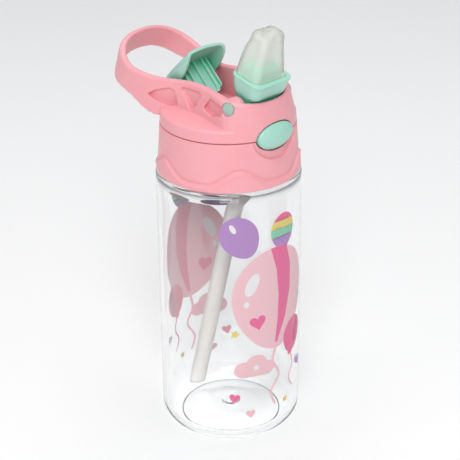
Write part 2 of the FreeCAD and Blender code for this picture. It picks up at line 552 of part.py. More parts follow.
def flip_cover():
    # hood cross-sections along u: roof at v = -6.5, sides going down to the wing edge
    def hood(u, hw, roof, side, edge, t=0.0):
        hw, roof = hw - t, roof + t
        pts = [V(-hw, edge, u), V(-hw - 0.15, (roof + edge) / 2 + 0.6, u), V(-hw * 0.93, side, u), V(-hw * 0.62, roof + 0.45, u),
               V(0, roof, u), V(hw * 0.62, roof + 0.45, u), V(hw * 0.93, side, u), V(hw + 0.15, (roof + edge) / 2 + 0.6, u),
               V(hw, edge, u)]
        bs = Part.BSplineCurve()
        bs.interpolate(pts)
        return Part.Wire([bs.toShape(), Part.LineSegment(pts[-1], pts[0]).toShape()])

    rows = [(-6.4, 9.2, -5.9, -4.6), (-3.5, 11.0, -6.3, -4.9), (2.0, 12.2, -6.8, -5.2), (8.0, 12.65, -7.1, -5.4),
            (14.0, 12.7, -7.4, -5.6), (20.2, 12.5, -7.6, -5.8), (21.4, 12.3, -7.7, -5.9)]
    outer = Part.makeLoft([hood(u, hw, roof, side, 3.0) for u, hw, roof, side in rows], True, False)
    inner = Part.makeLoft([hood(u + (-0.6 if i == 0 else (0.6 if i == len(rows) - 1 else 0)), hw, roof, side + 1.0, 3.6, 1.5)
                           for i, (u, hw, roof, side) in enumerate(rows)], True, False)
    shell = outer.cut(inner)
    # side outline of the wings
    leaf = [(-6.4, -6.4), (-5.8, -3.6), (-2.5, -0.4), (2.0, 1.6), (6.0, 1.9), (10.0, 1.2), (14.0, -0.2), (17.0, -1.6),
            (18.9, -2.9), (20.1, -4.6), (20.4, -6.4), (20.6, -9.5), (-7.0, -9.5)]
    bs = Part.BSplineCurve()
    bs.interpolate([V(-20, v, u) for u, v in leaf[:11]])
    wire = Part.Wire([bs.toShape()] + [Part.LineSegment(V(-20, leaf[i][1], leaf[i][0]),
                                                        V(-20, leaf[(i + 1) % 13][1], leaf[(i + 1) % 13][0])).toShape()
                                       for i in (10, 11, 12)])
    side = Part.Face(wire).extrude(V(40, 0, 0))
    shell = shell.common(side)
    # heel: a plate square to the hood, with three ribs and a raised border, rounded at its free end
    plate = prism_x([(-6.4, 4.5), (-6.4, 6.1), (11.8, 7.8), (12.9, 9.4), (13.5, 9.1), (13.2, 7.1), (11.8, 6.3)], -9.2, 9.2)
    heel = plate
    for x in (-5.5, 0.0, 5.5):
        heel = heel.fuse(prism_x([(-6.2, 6.0), (-5.6, 8.2), (9.8, 9.3), (12.6, 8.7), (11.5, 7.4)], x - 0.55, x + 0.55))
    for s in (1, -1):
        heel = heel.fuse(prism_x([(-6.2, 5.9), (-5.6, 7.8), (9.8, 9.2), (13.2, 9.3), (12.0, 6.9)], s * 9.2, s * 8.1))
    heel = heel.common(outer.fuse(Part.makeBox(40, 14.6, 40, V(-20, -1.2, -10))))
    # round the heel's free corners
    blank = Part.makeBox(18.4, 21.3, 40, V(-9.2, -11.3, -10))
    edges = [e for e in blank.Edges if abs(e.BoundBox.YMin - 10.0) < 1e-6 and abs(e.BoundBox.YMax - 10.0) < 1e-6
             and e.BoundBox.ZLength > 30]
    blank = blank.makeFillet(5.0, edges)
    blank.translate(V(0, 3.3, 0))
    heel = heel.common(blank)
    # knuckles on the pin
    for s in (1, -1):
        k = cyl(2.9, 3.6, (s * 8.6, 0, 0), (s, 0, 0))
        arm = prism_x([(-6.2, -1.5), (0.0, -2.8), (1.4, -2.2), (2.6, 2.2), (-6.2, 4.2)], s * 8.6, s * 11.4)
        arm = arm.common(outer)
        heel = heel.fuse(k.common(cyl(2.9, 30, (-15, 0, 0), (1, 0, 0)))).fuse(arm)
    body = shell.fuse(heel)
    body = body.cut(cyl(1.3, 40, (-20, 0, 0), (1, 0, 0)))
    body = body.cut(cyl(3.4, 11.0, (-5.5, 0, 0), (1, 0, 0)))
    # one engraved vein on each wing
    for s in (1, -1):
        vein = prism_x([(-3.4, 0.4), (-4.3, 17.4), (-4.9, 17.4), (-4.4, 0.4)], s * 12.15, s * 14)
        body = body.cut(vein)
    solid = max(body.Solids, key=lambda q: q.Volume)
    return keep("flip_cover", cover_frame(solid))


# ------------------------------------------------------------------ button and latch
def button():
    cap = ellipse_prism(BUTTON_HX, BUTTON_HZ, -40, -26, BUTTON_Z)
    dome = Part.makeSphere(1.0)
    m = FreeCAD.Matrix()
    m.scale(14.8, 9.4, 8.4)
    dome = dome.transformGeometry(m)
    dome.translate(V(0, -26.0, BUTTON_Z))
    cap = cap.common(dome).cut(Part.makeCylinder(31.5, 60, V(0, 0, 130)))
    stem = Part.makeBox(9.6, 3.6, 2.4, V(-4.8, -32.8, 164.0))
    return keep("release_button", cap.fuse(stem).removeSplitter())


def latch():
    """Slider behind the button, with the pawl that holds the folded spout and two spring seats."""
    z0, z1 = 164.0, 166.4
    bar = Part.makeBox(9.6, 2.2, z1 - z0, V(-4.8, -29.2, z0))
    bar = bar.fuse(Part.makeBox(27.0, 1.5, z1 - z0, V(-13.5, -27.0, z0)))
    pawl = Part.makeBox(6.0, 1.2, 8.6, V(-3.0, -27.6, z0))
    bar = bar.fuse(pawl)
    for s in (1, -1):
        bar = bar.fuse(cyl(1.0, 1.6, (s * 11.0, -25.6, (z0 + z1) / 2), (0, 1, 0)))
    return keep("latch_slider", bar.removeSplitter())


def main():
    bottle()
    collar()
    housing()
    core_plate()
    seat()
    gasket()
    vent_valve()
    straw()
    spout_base()
    mouthpiece()
    spout_pins()
    flip_cover()
    keep("cover_pin", cyl(1.25, 31.0, (-15.5, *COVER_PIVOT), (1, 0, 0)))
    keep("cover_spring", coil(0.7, 2.1, 6.0, 6, (-3.0, *COVER_PIVOT), (1, 0, 0)))
    button()
    latch()
    for s, side in ((1, "right"), (-1, "left")):
        keep("button_spring_" + side, coil(0.5, 1.75, 4.9, 5, (s * 11.0, -25.5, 165.2), (0, 1, 0)))
    turns = coil(0.4, 3.7, 1.25, 2, (0, 0, 0), (1, 0, 0))
    turns.translate(V(12.0, PIVOT[0], PIVOT[1]))
    keep("spout_spring", turns)
    for name, shape in SHAPES.items():
        shape.exportStep("parts/%s.step" % name)
        b = shape.BoundBox
        print("%-20s vol %9.1f solids %d  x %6.1f %6.1f  y %6.1f %6.1f  z %6.1f %6.1f" % (
            name, shape.Volume, len(shape.Solids), b.XMin, b.XMax, b.YMin, b.YMax, b.ZMin, b.ZMax))


main()
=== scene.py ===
# Looks of the kids water bottle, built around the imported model. Metres.
import math
import bpy
import bmesh
import numpy as np
from mathutils import Vector, Matrix
from mathutils.geometry import delaunay_2d_cdt


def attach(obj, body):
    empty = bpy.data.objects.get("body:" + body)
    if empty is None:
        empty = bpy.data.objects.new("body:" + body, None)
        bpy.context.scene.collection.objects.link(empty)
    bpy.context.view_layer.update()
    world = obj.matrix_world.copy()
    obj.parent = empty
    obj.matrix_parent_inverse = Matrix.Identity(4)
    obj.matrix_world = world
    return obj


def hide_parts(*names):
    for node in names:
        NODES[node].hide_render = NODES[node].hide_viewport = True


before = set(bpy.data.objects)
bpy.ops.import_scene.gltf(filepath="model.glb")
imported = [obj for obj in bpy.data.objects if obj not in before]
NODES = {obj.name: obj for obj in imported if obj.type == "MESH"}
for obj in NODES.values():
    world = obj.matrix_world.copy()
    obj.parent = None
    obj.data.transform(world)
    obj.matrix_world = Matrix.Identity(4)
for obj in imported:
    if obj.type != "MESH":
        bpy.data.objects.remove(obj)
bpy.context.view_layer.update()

MM = 0.001


# ------------------------------------------------------------------ material helpers
def srgb(r, g, b):
    """0-255 display colour to linear."""
    out = []
    for c in (r, g, b):
        c /= 255.0
        out.append(c / 12.92 if c <= 0.04045 else ((c + 0.055) / 1.055) ** 2.4)
    return (*out, 1.0)


class Mat:
    def __init__(self, name):
        self.m = bpy.data.materials.new(name)
        self.m.use_nodes = True
        self.t = self.m.node_tree
        self.t.nodes.clear()
        self.out = self.t.nodes.new("ShaderNodeOutputMaterial")
        self.coord = self.t.nodes.new("ShaderNodeTexCoord")

    def node(self, kind, **values):
        n = self.t.nodes.new(kind)
        for k, v in values.items():
            if k in n.inputs:
                n.inputs[k].default_value = v
            else:
                setattr(n, k, v)
        return n

    def link(self, a, b):
        self.t.links.new(a, b)

    def noise(self, scale, detail=3.0, rough=0.5):
        n = self.node("ShaderNodeTexNoise")
        n.inputs["Scale"].default_value = scale
        n.inputs["Detail"].default_value = detail
        n.inputs["Roughness"].default_value = rough
        self.link(self.coord.outputs["Object"], n.inputs["Vector"])
        return n

    def ramp(self, fac, stops):
        r = self.node("ShaderNodeValToRGB")
        cr = r.color_ramp
        while len(cr.elements) < len(stops):
            cr.elements.new(0.5)
        for e, (p, c) in zip(cr.elements, stops):
            e.position = p
            e.color = c
        self.link(fac, r.inputs["Fac"])
        return r

    def value_ramp(self, fac, lo, hi, a=0.3, b=0.7):
        m = self.node("ShaderNodeMapRange")
        m.inputs["From Min"].default_value = a
        m.inputs["From Max"].default_value = b
        m.inputs["To Min"].default_value = lo
        m.inputs["To Max"].default_value = hi
        self.link(fac, m.inputs["Value"])
        return m


def mixed(c, k, target=(1, 1, 1)):
    return tuple(c[i] * (1 - k) + target[i] * k for i in range(3)) + (1.0,)


def moulded(name, colour, rough=(0.34, 0.46), sss=0.12, bump=0.05, speck=0.035, cavity_shade=(0.8, 0.55, 0.58)):
    """Injection moulded plastic: fine spark-eroded texture, slight flow marks in colour and gloss, and painted
    shade: an ambient-occlusion mask darkens the colour in recesses, corners and between parts.
    """
    k = Mat(name)
    b = k.node("ShaderNodeBsdfPrincipled")
    flow = k.noise(38.0, 4.0, 0.55)
    r = k.ramp(flow.outputs["Fac"], [(0.25, mixed(colour, speck, (0.25, 0.05, 0.06))), (0.5, colour),
                                     (0.78, mixed(colour, speck * 1.6))])
    # painted shade: ambient occlusion multiplies the colour towards a darker tint in recesses and between parts
    ao_shade = k.node("ShaderNodeAmbientOcclusion")
    ao_shade.samples = 8
    ao_shade.inputs["Distance"].default_value = 0.009
    deep = k.node("ShaderNodeMixRGB")
    deep.blend_type = "MULTIPLY"
    deep.inputs["Fac"].default_value = 1.0
    shade_ramp = k.ramp(ao_shade.outputs["AO"], [(0.15, (*cavity_shade, 1.0)), (0.85, (1, 1, 1, 1))])
    k.link(r.outputs["Color"], deep.inputs["Color1"])
    k.link(shade_ramp.outputs["Color"], deep.inputs["Color2"])
    k.link(deep.outputs["Color"], b.inputs["Base Color"])
    gloss = k.noise(160.0, 5.0, 0.6)
    g = k.value_ramp(gloss.outputs["Fac"], *rough)
    k.link(g.outputs["Result"], b.inputs["Roughness"])
    grain = k.noise(2600.0, 2.0, 0.6)
    wave = k.noise(120.0, 2.0, 0.5)
    b1 = k.node("ShaderNodeBump")
    b1.inputs["Strength"].default_value = bump
    b1.inputs["Distance"].default_value = 0.00012
    k.link(grain.outputs["Fac"], b1.inputs["Height"])
    b2 = k.node("ShaderNodeBump")
    b2.inputs["Strength"].default_value = 0.05
    b2.inputs["Distance"].default_value = 0.0004
    k.link(wave.outputs["Fac"], b2.inputs["Height"])
    k.link(b1.outputs["Normal"], b2.inputs["Normal"])
    k.link(b2.outputs["Normal"], b.inputs["Normal"])
    b.inputs["IOR"].default_value = 1.49
    b.inputs["Subsurface Weight"].default_value = sss
    b.inputs["Subsurface Radius"].default_value = (1.0, 0.55, 0.5)
    b.inputs["Subsurface Scale"].default_value = 0.0022
    b.inputs["Coat Weight"].default_value = 0.12
    b.inputs["Coat Roughness"].default_value = 0.22
    k.link(b.outputs["BSDF"], k.out.inputs["Surface"])
    return k.m


def clear(name, tint, rough, ior, shadow, haze=0.0, haze_colour=(0.9, 0.9, 0.9, 1), rough_var=0.02, bump=0.0):
    """Clear or frosted polymer. Lamp rays go straight through, tinted by `shadow`."""
    k = Mat(name)
    b = k.node("ShaderNodeBsdfPrincipled")
    b.inputs["Transmission Weight"].default_value = 1.0
    b.inputs["IOR"].default_value = ior
    n = k.noise(70.0, 4.0, 0.5)
    c = k.ramp(n.outputs["Fac"], [(0.3, mixed(tint, 0.012, (0.6, 0.65, 0.7))), (0.7, tint)])
    k.link(c.outputs["Color"], b.inputs["Base Color"])
    g = k.value_ramp(n.outputs["Fac"], rough, rough + rough_var)
    k.link(g.outputs["Result"], b.inputs["Roughness"])
    if bump:
        w = k.noise(420.0, 3.0, 0.5)
        bn = k.node("ShaderNodeBump")
        bn.inputs["Strength"].default_value = bump
        bn.inputs["Distance"].default_value = 0.0002
        k.link(w.outputs["Fac"], bn.inputs["Height"])
        k.link(bn.outputs["Normal"], b.inputs["Normal"])
    surf = b.outputs["BSDF"]
    if haze:
        d = k.node("ShaderNodeBsdfPrincipled")
        d.inputs["Roughness"].default_value = 0.5
        hz = k.noise(300.0, 3.0, 0.5)
        hc = k.ramp(hz.outputs["Fac"], [(0.3, mixed(haze_colour, 0.04, (0.5, 0.5, 0.5))), (0.7, haze_colour)])
        k.link(hc.outputs["Color"], d.inputs["Base Color"])
        d.inputs["Subsurface Weight"].default_value = 0.4
        d.inputs["Subsurface Radius"].default_value = (1.0, 1.0, 0.95)
        d.inputs["Subsurface Scale"].default_value = 0.002
        mx = k.node("ShaderNodeMixShader")
        mx.inputs["Fac"].default_value = haze
        k.link(surf, mx.inputs[1])
        k.link(d.outputs["BSDF"], mx.inputs[2])
        surf = mx.outputs["Shader"]
    lp = k.node("ShaderNodeLightPath")
    tr = k.node("ShaderNodeBsdfTransparent")
    tr.inputs["Color"].default_value = shadow
    mix = k.node("ShaderNodeMixShader")
    k.link(lp.outputs["Is Shadow Ray"], mix.inputs["Fac"])
    k.link(surf, mix.inputs[1])
    k.link(tr.outputs["BSDF"], mix.inputs[2])
    k.link(mix.outputs["Shader"], k.out.inputs["Surface"])
    return k.m


def silicone(name, colour, sss=0.35):
    k = Mat(name)
    b = k.node("ShaderNodeBsdfPrincipled")
    n = k.noise(60.0, 4.0)
    c = k.ramp(n.outputs["Fac"], [(0.3, mixed(colour, 0.06, (0.6, 0.6, 0.58))), (0.7, colour)])
    k.link(c.outputs["Color"], b.inputs["Base Color"])
    g = k.value_ramp(k.noise(500.0).outputs["Fac"], 0.5, 0.62)
    k.link(g.outputs["Result"], b.inputs["Roughness"])
    bn = k.node("ShaderNodeBump")
    bn.inputs["Strength"].default_value = 0.08
    bn.inputs["Distance"].default_value = 0.0001
    k.link(k.noise(2000.0).outputs["Fac"], bn.inputs["Height"])
    k.link(bn.outputs["Normal"], b.inputs["Normal"])
    b.inputs["Subsurface Weight"].default_value = sss
    b.inputs["Subsurface Radius"].default_value = (1.0, 0.95, 0.9)
    b.inputs["Subsurface Scale"].default_value = 0.003
    b.inputs["IOR"].default_value = 1.41
    k.link(b.outputs["BSDF"], k.out.inputs["Surface"])
    return k.m


def steel(name):
    k = Mat(name)
    b = k.node("ShaderNodeBsdfPrincipled")
    b.inputs["Metallic"].default_value = 1.0
    mp = k.node("ShaderNodeMapping")
    mp.inputs["Scale"].default_value = (60.0, 900.0, 900.0)
    k.link(k.coord.outputs["Object"], mp.inputs["Vector"])
    n = k.node("ShaderNodeTexNoise")
    n.inputs["Scale"].default_value = 4.0
    n.inputs["Detail"].default_value = 4.0
    k.link(mp.outputs["Vector"], n.inputs["Vector"])
    c = k.ramp(n.outputs["Fac"], [(0.3, (0.46, 0.46, 0.47, 1)), (0.7, (0.68, 0.68, 0.69, 1))])
    k.link(c.outputs["Color"], b.inputs["Base Color"])
    g = k.value_ramp(n.outputs["Fac"], 0.2, 0.36)
    k.link(g.outputs["Result"], b.inputs["Roughness"])
    bn = k.node("ShaderNodeBump")
    bn.inputs["Strength"].default_value = 0.15
    bn.inputs["Distance"].default_value = 0.00003
    k.link(n.outputs["Fac"], bn.inputs["Height"])
    k.link(bn.outputs["Normal"], b.inputs["Normal"])
    k.link(b.outputs["BSDF"], k.out.inputs["Surface"])
    return k.m


def ink(name, colour, rough=0.32, through=0.0):
    """Screen-printed ink: an even film with a faint mesh texture."""
    k = Mat(name)
    b = k.node("ShaderNodeBsdfPrincipled")
    n = k.noise(220.0, 4.0, 0.6)
    c = k.ramp(n.outputs["Fac"], [(0.3, mixed(colour, 0.03, (0.3, 0.2, 0.25))), (0.7, colour)])
    k.link(c.outputs["Color"], b.inputs["Base Color"])
    g = k.value_ramp(n.outputs["Fac"], rough, rough + 0.1)
    k.link(g.outputs["Result"], b.inputs["Roughness"])
    bn = k.node("ShaderNodeBump")
    bn.inputs["Strength"].default_value = 0.06
    bn.inputs["Distance"].default_value = 0.00005
    k.link(k.noise(3000.0).outputs["Fac"], bn.inputs["Height"])
    k.link(bn.outputs["Normal"], b.inputs["Normal"])
    b.inputs["Coat Weight"].default_value = 0.25
    b.inputs["Coat Roughness"].default_value = 0.08
    surf = b.outputs["BSDF"]
    if through:
        t = k.node("ShaderNodeBsdfTranslucent")
        k.link(c.outputs["Color"], t.inputs["Color"])
        mx = k.node("ShaderNodeMixShader")
        mx.inputs["Fac"].default_value = through
        k.link(surf, mx.inputs[1])
        k.link(t.outputs["BSDF"], mx.inputs[2])
        surf = mx.outputs["Shader"]
    k.link(surf, k.out.inputs["Surface"])
    return k.m


PINK = srgb(241, 165, 173)
MINT = srgb(166, 216, 200)
# each moulded colour carries its own painted-shade tint for recesses; the mint one is deeper and more saturated
M_PINK = moulded("pink_moulded", PINK)
M_MINT = moulded("mint_moulded", MINT, rough=(0.28, 0.4), speck=0.03, cavity_shade=(0.2, 0.82, 0.6))
M_PIN = moulded("pin_mint", srgb(164, 200, 186), rough=(0.35, 0.5), cavity_shade=(0.6, 0.8, 0.75))
M_WHITE = moulded("white_moulded", srgb(236, 236, 233), speck=0.02, cavity_shade=(0.85, 0.85, 0.85))
M_BOTTLE = clear("clear_copolyester", (0.985, 0.99, 0.99, 1), 0.0, 1.52, (0.955, 0.96, 0.962, 1), rough_var=0.006)
M_STRAW = clear("frosted_straw", (0.95, 0.95, 0.945, 1), 0.34, 1.3, (0.84, 0.83, 0.82, 1), haze=0.62,
                haze_colour=srgb(252, 246, 243), rough_var=0.08, bump=0.08)
M_MOUTH = clear("clear_silicone", (0.97, 0.98, 0.975, 1), 0.16, 1.25, (0.86, 0.87, 0.85, 1), haze=0.36,
                haze_colour=srgb(232, 232, 226), rough_var=0.08, bump=0.06)
M_SIL = silicone("white_silicone", srgb(238, 238, 235))
M_STEEL = steel("drawn_steel")


# ------------------------------------------------------------------ mesh helpers
def new_object(name, verts, faces, material, smooth=True, uv=None):
    me = bpy.data.meshes.new(name)
    me.from_pydata([tuple(v) for v in verts], [], faces)
    me.materials.append(material)
    me.update()
    o = bpy.data.objects.new(name, me)
    bpy.context.scene.collection.objects.link(o)
    if smooth:
        me.polygons.foreach_set("use_smooth", [True] * len(me.polygons))
    return o


def softened(node, name, voxel, passes, material, factor=0.5, push=None, sharp=None):
    """A copy of a CAD solid with the rounded edges of the moulded part: fine remesh, then smoothing."""
    me = NODES[node].data.copy()
    bm = bmesh.new()
    bm.from_mesh(me)
    bmesh.ops.remove_doubles(bm, verts=bm.verts, dist=2e-7)
    bmesh.ops.scale(bm, vec=(100, 100, 100), verts=bm.verts)
    bm.to_mesh(me)
    bm.free()
    me.materials.clear()
    o = bpy.data.objects.new(name, me)
    bpy.context.scene.collection.objects.link(o)
    r = o.modifiers.new("r", "REMESH")
    r.mode = "VOXEL"
    r.voxel_size = voxel * 0.1
    r.adaptivity = 0.0
    s = o.modifiers.new("s", "SMOOTH")
    s.factor = factor
    s.iterations = passes
    dg = bpy.context.evaluated_depsgraph_get()
    done = bpy.data.meshes.new_from_object(o.evaluated_get(dg))
    bpy.data.objects.remove(o)
    co = np.zeros(len(done.vertices) * 3, np.float32)
    done.vertices.foreach_get("co", co)
    co = co.reshape(-1, 3).astype(float) * 10.0        # millimetres
    if push is not None:
        co = push(co)
    done.vertices.foreach_set("co", (co * MM).astype(np.float32).ravel())
    done.materials.clear()
    done.materials.append(material)
    done.polygons.foreach_set("use_smooth", [True] * len(done.polygons))
    done.update()
    out = bpy.data.objects.new(name, done)
    bpy.context.scene.collection.objects.link(out)
    return out


def arc_profile(points, step=0.35):
    """(r, z, radius) corners to a list of points with rounded corners, in millimetres."""
    n = len(points)
    out = []
    for i in range(n):
        p1 = np.array(points[i][:2], float)
        rad = points[i][2] if len(points[i]) > 2 else 0
        if rad and 0 < i < n - 1:
            a = np.array(points[i - 1][:2], float) - p1
            b = np.array(points[i + 1][:2], float) - p1
            a /= np.linalg.norm(a)
            b /= np.linalg.norm(b)
            half = math.acos(max(-1, min(1, a @ b))) / 2
            cut = rad / math.tan(half)
            mid = (a + b) / np.linalg.norm(a + b)
            c = p1 + mid * rad / math.sin(half)
            s, e = p1 + a * cut, p1 + b * cut
            a0 = math.atan2(*(s - c)[::-1])
            a1 = math.atan2(*(e - c)[::-1])
            d = (a1 - a0 + math.pi) % (2 * math.pi) - math.pi
            k = max(4, int(abs(d) * rad / step))
            for j in range(k + 1):
                t = a0 + d * j / k
                out.append((c[0] + rad * math.cos(t), c[1] + rad * math.sin(t)))
        else:
            out.append(tuple(p1))
    dense = [out[0]]
    for p in out[1:]:
        q = dense[-1]
        dist = math.hypot(p[0] - q[0], p[1] - q[1])
        k = max(1, int(dist / 4.0))
        for j in range(1, k + 1):
            dense.append((q[0] + (p[0] - q[0]) * j / k, q[1] + (p[1] - q[1]) * j / k))
    return dense


def lathe(name, profile, segments, material, radial=None):
    """Closed profile from axis to axis, revolved; radial(r, z, angle) may change the radius."""
    verts, faces, rows = [], [], []
    for r, z in profile:
        if r < 1e-6:
            rows.append([len(verts)])
            verts.append((0, 0, z * MM))
            continue
        row = []
        for i in range(segments):
            a = 2 * math.pi * i / segments
            rr = radial(r, z, a) if radial else r
            row.append(len(verts))
            verts.append((rr * math.cos(a) * MM, rr * math.sin(a) * MM, z * MM))
        rows.append(row)
    for a, b in zip(rows, rows[1:]):
        for i in range(segments):
            j = (i + 1) % segments
            if len(a) == 1:
                faces.append((a[0], b[j], b[i]))
            elif len(b) == 1:
                faces.append((a[i], a[j], b[0]))
            else:
                faces.append((a[i], a[j], b[j], b[i]))
    o = new_object(name, verts, faces, material)
    bm = bmesh.new()
    bm.from_mesh(o.data)
    bmesh.ops.recalc_face_normals(bm, faces=bm.faces)
    bm.to_mesh(o.data)
    bm.free()
    return o


# ------------------------------------------------------------------ bottle
OUT_R = 35.9
NECK_R, NECK_BORE, MOUTH_Z = 29.6, 27.2, 158.4
WALL_R = 33.8


def helix(r, z, a):
    """Neck thread, right-handed."""
    if r < NECK_R - 0.2 or z < 143.5 or z > 156.5:
        return r
    best = 0.0
    for turn in (0, 1):
        t = a + 2 * math.pi * turn
        if t <= 2 * math.pi * 1.1:
            zc = 146.4 + 5.0 * t / (2 * math.pi)
            d = abs(z - zc)
            h = min(1.0, max(0.0, (1.15 - d) / 0.65))
            fade = min(1.0, t / 1.0, (2 * math.pi * 1.1 - t) / 1.0)
            best = max(best, 1.2 * h * max(0.0, fade))
    return r + best


outer = arc_profile([(0, 3.9), (12, 3.7, 20), (25.0, 0.0, 6.0), (OUT_R, 0.0, 10.4), (OUT_R, 141.2, 1.6),
                     (NECK_R, 141.2, 0.8), (NECK_R, 143.9)])
outer += [(NECK_R, 143.9 + 0.3 * i) for i in range(1, 42)]
top = arc_profile([(NECK_R, 156.5), (NECK_R, MOUTH_Z, 0.9), (NECK_BORE, MOUTH_Z, 0.4),
                   (NECK_BORE, 142.0, 3.0), (WALL_R, 137.8, 5.0), (WALL_R, 2.3, 8.4), (25.0, 2.3, 6.0),
                   (12, 6.2, 18), (5.4, 6.4, 1.0), (4.4, 7.0, 0.8), (0, 7.2)])
bottle = lathe("bottle_shell", outer + top[1:], 288, M_BOTTLE, radial=helix)
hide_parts("bottle_body")
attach(bottle, "bottle")


# ------------------------------------------------------------------ straw
def straw_axis(z):
    return -20.0 + (181.5 - z) * math.tan(math.radians(14.8))


def straw():
    a = math.radians(14.8)
    d = Vector((0, -math.sin(a), math.cos(a)))
    side = Vector((1, 0, 0))
    up = d.cross(side)
    z_top, z_low = 160.6, 7.0
    top = Vector((0, straw_axis(z_top), z_top))
    verts, faces = [], []
    seg, rows = 72, 60
    # lower end cut square to the floor of the bottle, with a small notch angle
    cut_n = Vector((0, -math.sin(math.radians(-12)), math.cos(math.radians(-12))))
    low = Vector((0, straw_axis(z_low), z_low))
    rings = []
    for r, forward in ((4.25, True), (3.3, False)):
        ring_rows = []
        for k in range(rows + 1):
            f = k / rows
            row = []
            for i in range(seg):
                t = 2 * math.pi * i / seg
                off = side * (r * math.cos(t)) + up * (r * math.sin(t))
                p_top = top + off
                s = (low - p_top).dot(cut_n) / d.dot(cut_n)
                p_low = p_top + d * s
                p = p_low.lerp(p_top, f)
                row.append(len(verts))
                verts.append(p * MM)
            ring_rows.append(row)
        rings.append(ring_rows)
    o_, i_ = rings
    for a_, b_ in zip(o_, o_[1:]):
        for i in range(seg):
            j = (i + 1) % seg
            faces.append((a_[i], a_[j], b_[j], b_[i]))
    for a_, b_ in zip(i_, i_[1:]):
        for i in range(seg):
            j = (i + 1) % seg
            faces.append((a_[j], a_[i], b_[i], b_[j]))
    for i in range(seg):
        j = (i + 1) % seg
        faces.append((o_[0][j], o_[0][i], i_[0][i], i_[0][j]))
        faces.append((o_[-1][i], o_[-1][j], i_[-1][j], i_[-1][i]))
    o = new_object("straw_tube", verts, faces, M_STRAW)
    bm = bmesh.new()
    bm.from_mesh(o.data)
    bmesh.ops.recalc_face_normals(bm, faces=bm.faces)
    bm.to_mesh(o.data)
    bm.free()
    return o


tube = straw()
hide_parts("straw")
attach(tube, "lid")


# ------------------------------------------------------------------ moulded shells
def wave(t):
    return 143.9 + 7.1 * ((1 + np.cos(5 * (t - math.radians(36)))) / 2) ** 2


def wave_bead(co):
    r = np.hypot(co[:, 0], co[:, 1])
    t = np.arctan2(co[:, 0], -co[:, 1])
    slope = (wave(t + 0.01) - wave(t - 0.01)) / 0.02 / 34.5
    d = (co[:, 2] - wave(t)) / np.sqrt(1 + slope ** 2)
    h = 0.5 * np.exp(-(d / 0.68) ** 2) - 0.4 * np.exp(-((d - 1.5) / 0.6) ** 2)
    h = h * np.clip((r - 33.0) / 0.5, 0, 1) * np.clip((co[:, 2] - 142.2) / 0.8, 0, 1) * np.clip((156 - co[:, 2]) / 2, 0, 1)
    # lip of the finger scoop
    e = np.sqrt((co[:, 0] / 13.9) ** 2 + ((co[:, 2] - 165.9) / 10.8) ** 2)
    lip = 0.5 * np.exp(-((e - 1.05) / 0.055) ** 2) * np.clip((-co[:, 1] - 25) / 3, 0, 1) * np.clip((164.6 - co[:, 2]) / 2, 0, 1)
    h = h + lip * np.clip((r - 33.0) / 0.5, 0, 1)
    k = np.where(r > 1, (np.minimum(r + h, 35.85)) / np.maximum(r, 1e-6), 1.0)
    k = np.where(np.abs(h) > 1e-4, k, 1.0)
    co = co.copy()
    co[:, 0] *= k
    co[:, 1] *= k
    return co


collar = softened("lid_collar", "collar_shell", 0.36, 7, M_PINK, push=wave_bead)
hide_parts("lid_collar")
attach(collar, "lid")

housing = softened("lid_housing", "housing_shell", 0.36, 9, M_PINK)
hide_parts("lid_housing")
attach(housing, "lid")

cover = softened("flip_cover", "cover_shell", 0.2, 3, M_MINT)
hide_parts("flip_cover")
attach(cover, "cover")

base = softened("spout_base", "spout_base_shell", 0.22, 7, M_MINT)
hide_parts("spout_base")
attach(base, "spout")

mouth = softened("mouthpiece", "mouthpiece_shell", 0.22, 7, M_MOUTH)
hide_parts("mouthpiece")
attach(mouth, "spout")

button = softened("release_button", "button_cap", 0.25, 9, M_MINT)
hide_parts("release_button")
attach(button, "button")


# ------------------------------------------------------------------ printed pattern on the bottle
def circle(cx, cy, rx, ry=None, rot=0.0, n=56):
    ry = ry or rx
    c, s = math.cos(rot), math.sin(rot)
    return [(cx + rx * math.cos(t) * c - ry * math.sin(t) * s, cy + rx * math.cos(t) * s + ry * math.sin(t) * c)
            for t in [2 * math.pi * i / n for i in range(n)]]


def heart(cx, cy, w, h, rot=0.0, n=72):
    pts = []
    c, s = math.cos(rot), math.sin(rot)
    for i in range(n):
        t = 2 * math.pi * i / n
        x = 16 * math.sin(t) ** 3 / 16.0 * w / 2
        y = (13 * math.cos(t) - 5 * math.cos(2 * t) - 2 * math.cos(3 * t) - math.cos(4 * t) + 2.6) / 14.6 * h / 2
        pts.append((cx + x * c - y * s, cy + x * s + y * c))
    return pts[::-1]


def star(cx, cy, r, k=0.5, n=5, rot=0.0):
    return [(cx + (r if i % 2 == 0 else r * k) * math.sin(rot + math.pi * i / n),
             cy + (r if i % 2 == 0 else r * k) * math.cos(rot + math.pi * i / n)) for i in range(2 * n)][::-1]


def ribbon(points, w0, w1):
    """Tapering strip along a smooth path."""
    p = [np.array(q, float) for q in points]
    line = []
    for i in range(len(p) - 1):
        a, b, c, d = p[max(i - 1, 0)], p[i], p[i + 1], p[min(i + 2, len(p) - 1)]
        for j in range(10):
            f = j / 10
            line.append(0.5 * (2 * b + (c - a) * f + (2 * a - 5 * b + 4 * c - d) * f * f + (3 * b - a - 3 * c + d) * f ** 3))
    line.append(p[-1])
    left, right = [], []
    for i, q in enumerate(line):
        t = line[min(i + 1, len(line) - 1)] - line[max(i - 1, 0)]
        t = t / np.linalg.norm(t)
        nrm = np.array((-t[1], t[0]))
        w = (w0 + (w1 - w0) * i / (len(line) - 1)) / 2
        left.append(q + nrm * w)
        right.append(q - nrm * w)
    pts = left + right[::-1]
    return [tuple(q) for q in pts]


